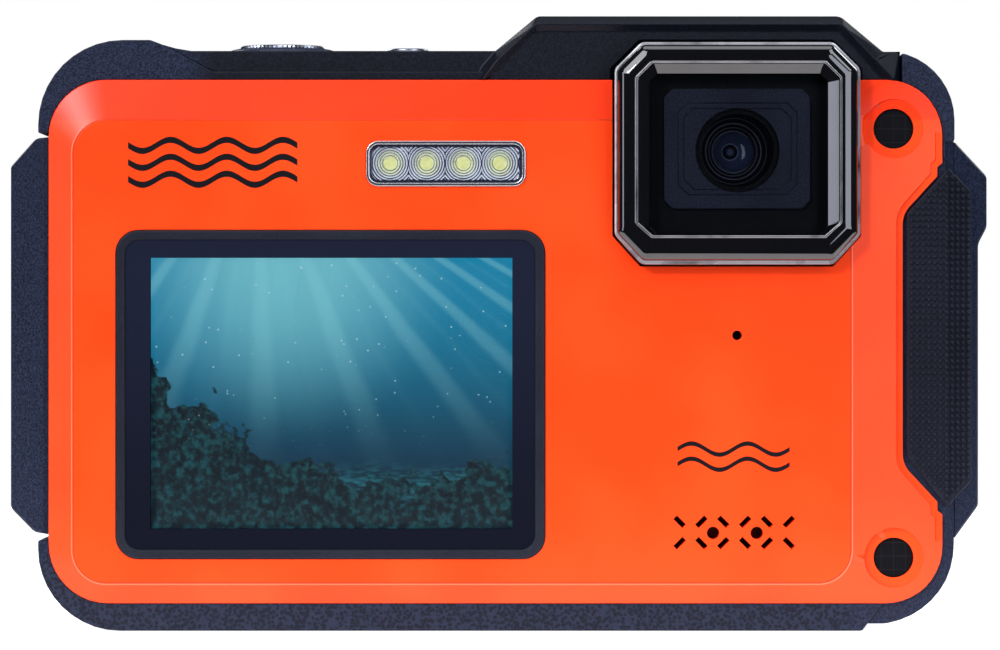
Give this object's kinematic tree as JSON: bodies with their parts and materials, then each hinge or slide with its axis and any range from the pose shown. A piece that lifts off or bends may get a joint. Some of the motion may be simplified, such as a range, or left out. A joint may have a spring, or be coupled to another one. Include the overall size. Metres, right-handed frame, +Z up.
{
  "type": "action camera",
  "caption": "Waterproof action camera with a front screen, an octagonal lens window, a video light, sprung buttons and keys, a tilting zoom rocker and a hinged battery door with a latch.",
  "frame": {"origin": "mouth of the tripod thread, in the underside that the camera stands on", "axes": "+Z up, +X to the right as the front is seen, -Y the way the lens looks"},
  "size_m": [0.1104, 0.0284, 0.0691],
  "materials": {
    "navy_shell": "matt, fine grain",
    "orange_cover": "satin",
    "grip_rubber": "dotted",
    "gloss_bezel": "mirror gloss",
    "clear_window": "polished",
    "light_cover": "clear, ringed",
    "mask_plate": "matt, fine grain",
    "inner_black": "matt",
    "lens_glass": "coated",
    "silver_trim": "bright",
    "reflector": "metallised",
    "led_yellow": "clear",
    "board": "lacquered",
    "board_parts": "matt",
    "screen_frame": "fine grain",
    "screen_panel": "gloss",
    "cap_black": "ribbed",
    "speaker_black": "matt",
    "steel": "brushed",
    "battery_wrap": "satin",
    "tray_plastic": "matt",
    "contact_metal": "plated",
    "seal_rubber": "smooth",
    "insert_brass": "turned",
    "latch_grey": "satin",
    "button_chrome": "spun",
    "key_plastic": "satin",
    "lamp": "clear"
  },
  "bodies": {
    "case": {"front_housing": "navy_shell", "main_housing": "navy_shell", "top_cover": "navy_shell", "left_bumper": "navy_shell", "right_bumper": "navy_shell", "base_foot": "navy_shell", "grip_plate": "navy_shell", "front_cover": "orange_cover", "grip_pad": "grip_rubber", "lens_bezel": "gloss_bezel", "lens_window": "clear_window", "front_screen_glass": "clear_window", "rear_screen_glass": "clear_window", "light_lens": "light_cover", "lens_mask": "mask_plate", "lens_shroud": "inner_black", "lens_barrel": "inner_black", "lens_case": "inner_black", "front_lens": "lens_glass", "lens_prism": "lens_glass", "lens_group": "lens_glass", "light_rim": "silver_trim", "button_rings": "silver_trim", "light_reflector": "reflector", "light_leds": "led_yellow", "light_board": "board", "main_board": "board", "button_board": "board", "image_sensor": "board", "board_parts": "board_parts", "front_screen_frame": "screen_frame", "front_screen_panel": "screen_panel", "rear_screen_panel": "screen_panel", "corner_caps": "cap_black", "speaker": "speaker_black", "microphone": "steel", "card_slot": "steel", "usb_port": "steel", "case_screws": "steel", "hinge_pin": "steel", "battery": "battery_wrap", "battery_tray": "tray_plastic", "battery_contacts": "contact_metal", "case_seal": "seal_rubber", "tripod_insert": "insert_brass", "status_lamp": "lamp"},
    "door": {"battery_door": "navy_shell", "door_seal": "seal_rubber"},
    "latch": {"door_latch": "latch_grey"},
    "shutter": {"shutter_button": "button_chrome"},
    "power": {"power_button": "button_chrome"},
    "zoom": {"zoom_rocker": "key_plastic"},
    "menu": {"menu_key": "key_plastic"},
    "play": {"play_key": "key_plastic"},
    "screen_switch": {"screen_key": "key_plastic"},
    "ok": {"ok_key": "key_plastic"},
    "up": {"arrow_up": "key_plastic"},
    "down": {"arrow_down": "key_plastic"},
    "left": {"arrow_left": "key_plastic"},
    "right": {"arrow_right": "key_plastic"}
  },
  "joints": [
    {"name": "door_hinge", "type": "hinge", "parent": "case", "child": "door", "pos_m": [-0.0526, 0.0085, 0.033], "axis": [0, 0, -1], "range_deg": [0, 100]},
    {"name": "latch_slide", "type": "slide", "parent": "door", "child": "latch", "axis": [0, 0, 1], "range_m": [0, 0.003]},
    {"name": "shutter_press", "type": "slide", "parent": "case", "child": "shutter", "axis": [0, 0, -1], "range_m": [0, 0.0008], "stiffness_N_per_m": 1500},
    {"name": "power_press", "type": "slide", "parent": "case", "child": "power", "axis": [0, 0, -1], "range_m": [0, 0.0005], "stiffness_N_per_m": 2000},
    {"name": "zoom_tilt", "type": "hinge", "parent": "case", "child": "zoom", "pos_m": [-0.034, 0.011, 0.054], "axis": [0, 0, 1], "range_deg": [-4, 4], "stiffness_Nm_per_rad": 0.1},
    {"name": "menu_press", "type": "slide", "parent": "case", "child": "menu", "axis": [0, -1, 0], "range_m": [0, 0.0004], "stiffness_N_per_m": 2000},
    {"name": "play_press", "type": "slide", "parent": "case", "child": "play", "axis": [0, -1, 0], "range_m": [0, 0.0004], "stiffness_N_per_m": 2000},
    {"name": "screen_switch_press", "type": "slide", "parent": "case", "child": "screen_switch", "axis": [0, -1, 0], "range_m": [0, 0.0004], "stiffness_N_per_m": 2000},
    {"name": "ok_press", "type": "slide", "parent": "case", "child": "ok", "axis": [0, -1, 0], "range_m": [0, 0.0004], "stiffness_N_per_m": 2000},
    {"name": "up_press", "type": "slide", "parent": "case", "child": "up", "axis": [0, -1, 0], "range_m": [0, 0.0004], "stiffness_N_per_m": 2000},
    {"name": "down_press", "type": "slide", "parent": "case", "child": "down", "axis": [0, -1, 0], "range_m": [0, 0.0004], "stiffness_N_per_m": 2000},
    {"name": "left_press", "type": "slide", "parent": "case", "child": "left", "axis": [0, -1, 0], "range_m": [0, 0.0004], "stiffness_N_per_m": 2000},
    {"name": "right_press", "type": "slide", "parent": "case", "child": "right", "axis": [0, -1, 0], "range_m": [0, 0.0004], "stiffness_N_per_m": 2000}
  ]
}
